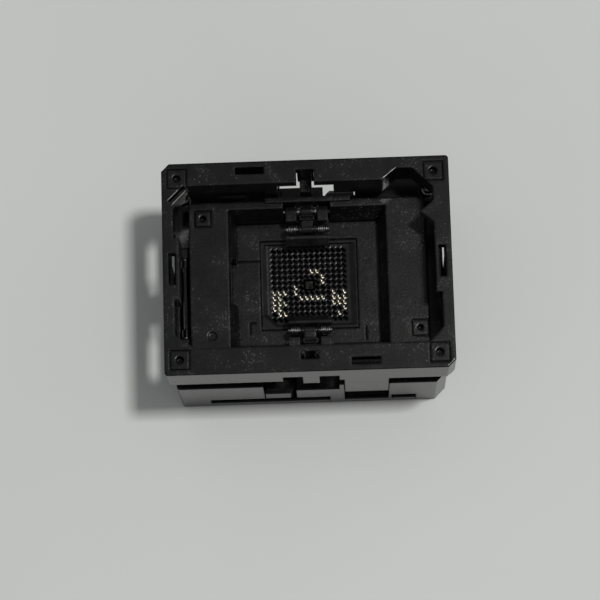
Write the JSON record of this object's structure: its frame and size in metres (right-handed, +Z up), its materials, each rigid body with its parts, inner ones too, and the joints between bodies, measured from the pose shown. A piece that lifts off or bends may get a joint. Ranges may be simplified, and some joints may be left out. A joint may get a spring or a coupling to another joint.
{
  "type": "open-top ic socket",
  "caption": "Open-top test socket for a ball-grid package: a sprung cover slides on a base, swings two latches off the package and opens the contacts.",
  "frame": {"origin": "middle of the footprint on the board face", "axes": "+Z up from the board, +X along the long side, +Y towards the rear bar"},
  "size_m": [0.026, 0.0196, 0.016],
  "materials": {
    "cover_plastic": "moulded, glass-filled",
    "base_plastic": "moulded, glass-filled",
    "nest_plastic": "moulded, fine texture",
    "latch_plastic": "moulded, rubbed at the edges",
    "contact_gold": "gold plated spring alloy",
    "pin_metal": "plain turned",
    "shaft_steel": "ground",
    "spring_steel": "drawn wire",
    "stamped_steel": "stamped sheet"
  },
  "bodies": {
    "base": {"base": "base_plastic", "nest_frame": "nest_plastic", "contact_plate": "nest_plastic", "core_pin": "pin_metal", "contact_block": "base_plastic", "contacts": "contact_gold", "retainer": "base_plastic", "lead_guide": "base_plastic", "lever_rod": "shaft_steel", "latch_shaft_rear": "shaft_steel", "latch_shaft_front": "shaft_steel", "latch_springs_rear": "spring_steel", "latch_springs_front": "spring_steel", "cover_spring_1": "spring_steel", "cover_spring_2": "spring_steel", "cover_spring_3": "spring_steel", "cover_spring_4": "spring_steel"},
    "cover": {"cover": "cover_plastic"},
    "slider": {"slider": "nest_plastic"},
    "lever": {"lever": "stamped_steel"},
    "latch_rear": {"latch_arm_rear": "latch_plastic", "latch_pad_rear": "latch_plastic", "pad_shaft_rear": "shaft_steel", "pad_springs_rear": "spring_steel"},
    "latch_front": {"latch_arm_front": "latch_plastic", "latch_pad_front": "latch_plastic", "pad_shaft_front": "shaft_steel", "pad_springs_front": "spring_steel"}
  },
  "joints": [
    {"name": "cover_press", "type": "slide", "parent": "base", "child": "cover", "axis": [0, 0, -1], "range_m": [0, 0.0029], "stiffness_N_per_m": 3000, "springref_m": -0.0015, "deforming": ["cover_spring_1", "cover_spring_2", "cover_spring_3", "cover_spring_4"]},
    {"name": "latch_rear_turn", "type": "hinge", "parent": "base", "child": "latch_rear", "pos_m": [0, 0.00645, 0.0099], "axis": [-1, 0, 0], "range_deg": [0, 90.5]},
    {"name": "latch_front_turn", "type": "hinge", "parent": "base", "child": "latch_front", "pos_m": [0, -0.00645, 0.0099], "axis": [1, 0, 0], "range_deg": [0, 90.5]},
    {"name": "slider_shift", "type": "slide", "parent": "base", "child": "slider", "axis": [1, 0, 0], "range_m": [0, 0.00021]},
    {"name": "lever_swing", "type": "hinge", "parent": "base", "child": "lever", "pos_m": [-0.01135, 0, 0.0096], "axis": [0, -1, 0], "range_deg": [0, 3]}
  ],
  "couplings": [
    {"joint": "latch_rear_turn", "follows": "cover_press", "rad_per_m": 541.65},
    {"joint": "latch_front_turn", "follows": "cover_press", "rad_per_m": 541.65},
    {"joint": "slider_shift", "follows": "cover_press", "ratio": 0.06897},
    {"joint": "lever_swing", "follows": "cover_press", "rad_per_m": 17.683}
  ]
}
